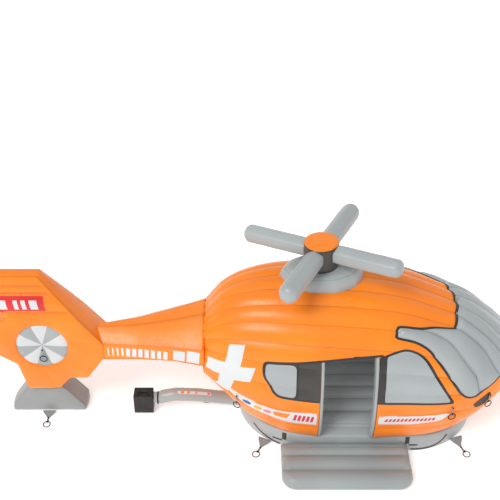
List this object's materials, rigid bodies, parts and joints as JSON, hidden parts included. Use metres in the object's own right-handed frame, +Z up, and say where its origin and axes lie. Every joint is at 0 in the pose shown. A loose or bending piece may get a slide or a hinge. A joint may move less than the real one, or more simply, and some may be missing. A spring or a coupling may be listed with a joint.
{
  "type": "inflatable play helicopter",
  "caption": "Walk-in inflatable play structure shaped like a rescue helicopter, with entrance mat, anchor rings and a fan blower on an inlet sleeve.",
  "frame": {"origin": "on the ground under the middle of the floor mattress", "axes": "+X towards the nose, +Y away from the entrance, +Z up"},
  "size_m": [10.05, 3.7403, 3.8571],
  "materials": {
    "pvc_orange": "coated PVC tarpaulin, satin",
    "pvc_grey": "coated PVC tarpaulin, satin",
    "pvc_dark": "coated PVC tarpaulin, satin",
    "pvc_white": "coated PVC tarpaulin, satin",
    "webbing": "woven polyester webbing",
    "strap_black": "coated strap, matt",
    "steel_ring": "welded steel, black oxide",
    "black_steel": "black oxide",
    "black_plastic": "moulded, fine texture",
    "dark_plastic": "moulded",
    "red_plastic": "moulded, gloss",
    "zinc_steel": "zinc plated",
    "cast_aluminium": "cast"
  },
  "bodies": {
    "castle": {"floor_mattress": "pvc_grey", "entrance_mat": "pvc_grey", "belly_panels": "pvc_orange", "wall_near_rear": "pvc_orange", "wall_near_front": "pvc_orange", "wall_far": "pvc_orange", "nose_walls": "pvc_orange", "door_post_rear": "pvc_grey", "door_post_front": "pvc_grey", "roof_rear": "pvc_orange", "roof_front": "pvc_orange", "windscreen_top": "pvc_grey", "windscreen_nose": "pvc_grey", "nose_cushion": "pvc_orange", "tail_bulkhead": "pvc_orange", "tail_boom": "pvc_orange", "tail_ring": "pvc_orange", "tail_fin": "pvc_orange", "tail_foot": "pvc_grey", "fan_discs": "pvc_white", "rotor_plinth": "pvc_grey", "rotor_hub": "pvc_dark", "rotor_cap": "pvc_orange", "rotor_arm_1": "pvc_grey", "rotor_arm_2": "pvc_grey", "rotor_arm_3": "pvc_grey", "rotor_arm_4": "pvc_grey", "inlet_sleeve": "pvc_grey", "sleeve_strap": "strap_black", "deflation_flap": "strap_black", "anchor_straps": "webbing", "anchor_hardware": "black_steel", "blower_casing": "black_plastic", "intake_cover": "black_plastic", "intake_grille": "zinc_steel", "outlet_nozzle": "black_plastic", "flap_pin": "zinc_steel", "fan_motor": "cast_aluminium", "motor_bracket": "zinc_steel", "blower_feet": "black_plastic", "power_inlet": "dark_plastic", "cover_screws": "zinc_steel"},
    "ring_floor_rear_near": {"ring_floor_rear_near": "steel_ring"},
    "ring_floor_rear_far": {"ring_floor_rear_far": "steel_ring"},
    "ring_floor_front_near": {"ring_floor_front_near": "steel_ring"},
    "ring_floor_front_far": {"ring_floor_front_far": "steel_ring"},
    "ring_foot_near": {"ring_foot_near": "steel_ring"},
    "ring_foot_far": {"ring_foot_far": "steel_ring"},
    "ring_hull_rear_near": {"ring_hull_rear_near": "steel_ring"},
    "ring_hull_rear_far": {"ring_hull_rear_far": "steel_ring"},
    "ring_hull_front_near": {"ring_hull_front_near": "steel_ring"},
    "ring_hull_front_far": {"ring_hull_front_far": "steel_ring"},
    "ring_nose": {"ring_nose": "steel_ring"},
    "ring_tail_near": {"ring_tail_near": "steel_ring"},
    "ring_tail_far": {"ring_tail_far": "steel_ring"},
    "fan_rotor": {"fan_impeller": "dark_plastic", "motor_shaft": "zinc_steel"},
    "flap": {"backdraft_flap": "dark_plastic"},
    "handle": {"carry_handle": "black_plastic"},
    "switch": {"power_switch": "red_plastic"}
  },
  "joints": [
    {"name": "ring_floor_rear_near_swing", "type": "hinge", "parent": "castle", "child": "ring_floor_rear_near", "pos_m": [-1.96109, -1.34135, 0.026], "axis": [-0.8969, 0.4422, 0], "range_deg": [0, 120]},
    {"name": "ring_floor_rear_far_swing", "type": "hinge", "parent": "castle", "child": "ring_floor_rear_far", "pos_m": [-1.96109, 1.34135, 0.026], "axis": [0.8969, 0.4422, 0], "range_deg": [0, 120]},
    {"name": "ring_floor_front_near_swing", "type": "hinge", "parent": "castle", "child": "ring_floor_front_near", "pos_m": [1.90816, -1.33837, 0.026], "axis": [-0.9425, -0.3341, 0], "range_deg": [0, 120]},
    {"name": "ring_floor_front_far_swing", "type": "hinge", "parent": "castle", "child": "ring_floor_front_far", "pos_m": [1.90816, 1.33837, 0.026], "axis": [0.9425, -0.3341, 0], "range_deg": [0, 120]},
    {"name": "ring_foot_near_swing", "type": "hinge", "parent": "castle", "child": "ring_foot_near", "pos_m": [-6.03, -0.57462, 0.026], "axis": [-1, 0, 0], "range_deg": [0, 120]},
    {"name": "ring_foot_far_swing", "type": "hinge", "parent": "castle", "child": "ring_foot_far", "pos_m": [-6.03, 0.57462, 0.026], "axis": [1, 0, 0], "range_deg": [0, 120]},
    {"name": "ring_hull_rear_near_swing", "type": "hinge", "parent": "castle", "child": "ring_hull_rear_near", "pos_m": [-2.34227, -1.16717, 1.121], "axis": [-0.8988, 0.4384, 0], "range_deg": [-3, 120]},
    {"name": "ring_hull_rear_far_swing", "type": "hinge", "parent": "castle", "child": "ring_hull_rear_far", "pos_m": [-2.34227, 1.16717, 1.121], "axis": [0.8988, 0.4384, 0], "range_deg": [-3, 120]},
    {"name": "ring_hull_front_near_swing", "type": "hinge", "parent": "castle", "child": "ring_hull_front_near", "pos_m": [1.51534, -1.44349, 1.099], "axis": [-0.9816, -0.1908, 0], "range_deg": [-3, 120]},
    {"name": "ring_hull_front_far_swing", "type": "hinge", "parent": "castle", "child": "ring_hull_front_far", "pos_m": [1.51534, 1.44349, 1.099], "axis": [0.9816, -0.1908, 0], "range_deg": [-3, 120]},
    {"name": "ring_nose_swing", "type": "hinge", "parent": "castle", "child": "ring_nose", "pos_m": [2.19639, -1.22658, 1.209], "axis": [-0.9135, -0.4067, 0], "range_deg": [-3, 120]},
    {"name": "ring_tail_near_swing", "type": "hinge", "parent": "castle", "child": "ring_tail_near", "pos_m": [-5.95, -0.368, 1.519], "axis": [-1, 0, 0], "range_deg": [-3, 120]},
    {"name": "ring_tail_far_swing", "type": "hinge", "parent": "castle", "child": "ring_tail_far", "pos_m": [-5.95, 0.368, 1.519], "axis": [1, 0, 0], "range_deg": [-3, 120]},
    {"name": "fan_spin", "type": "hinge", "parent": "castle", "child": "fan_rotor", "pos_m": [-4.19, -0.16, 0.215], "axis": [0, 1, 0], "continuous": true},
    {"name": "flap_swing", "type": "hinge", "parent": "castle", "child": "flap", "pos_m": [-3.935, -0.2, 0.394], "axis": [0, -1, 0], "range_deg": [0, 35]},
    {"name": "handle_swing", "type": "hinge", "parent": "castle", "child": "handle", "pos_m": [-4.175, -0.285, 0.456], "axis": [1, 0, 0], "range_deg": [0, 100]},
    {"name": "switch_rock", "type": "hinge", "parent": "castle", "child": "switch", "pos_m": [-4.3585, -0.24, 0.33], "axis": [0, 1, 0], "range_deg": [-8, 8]}
  ]
}
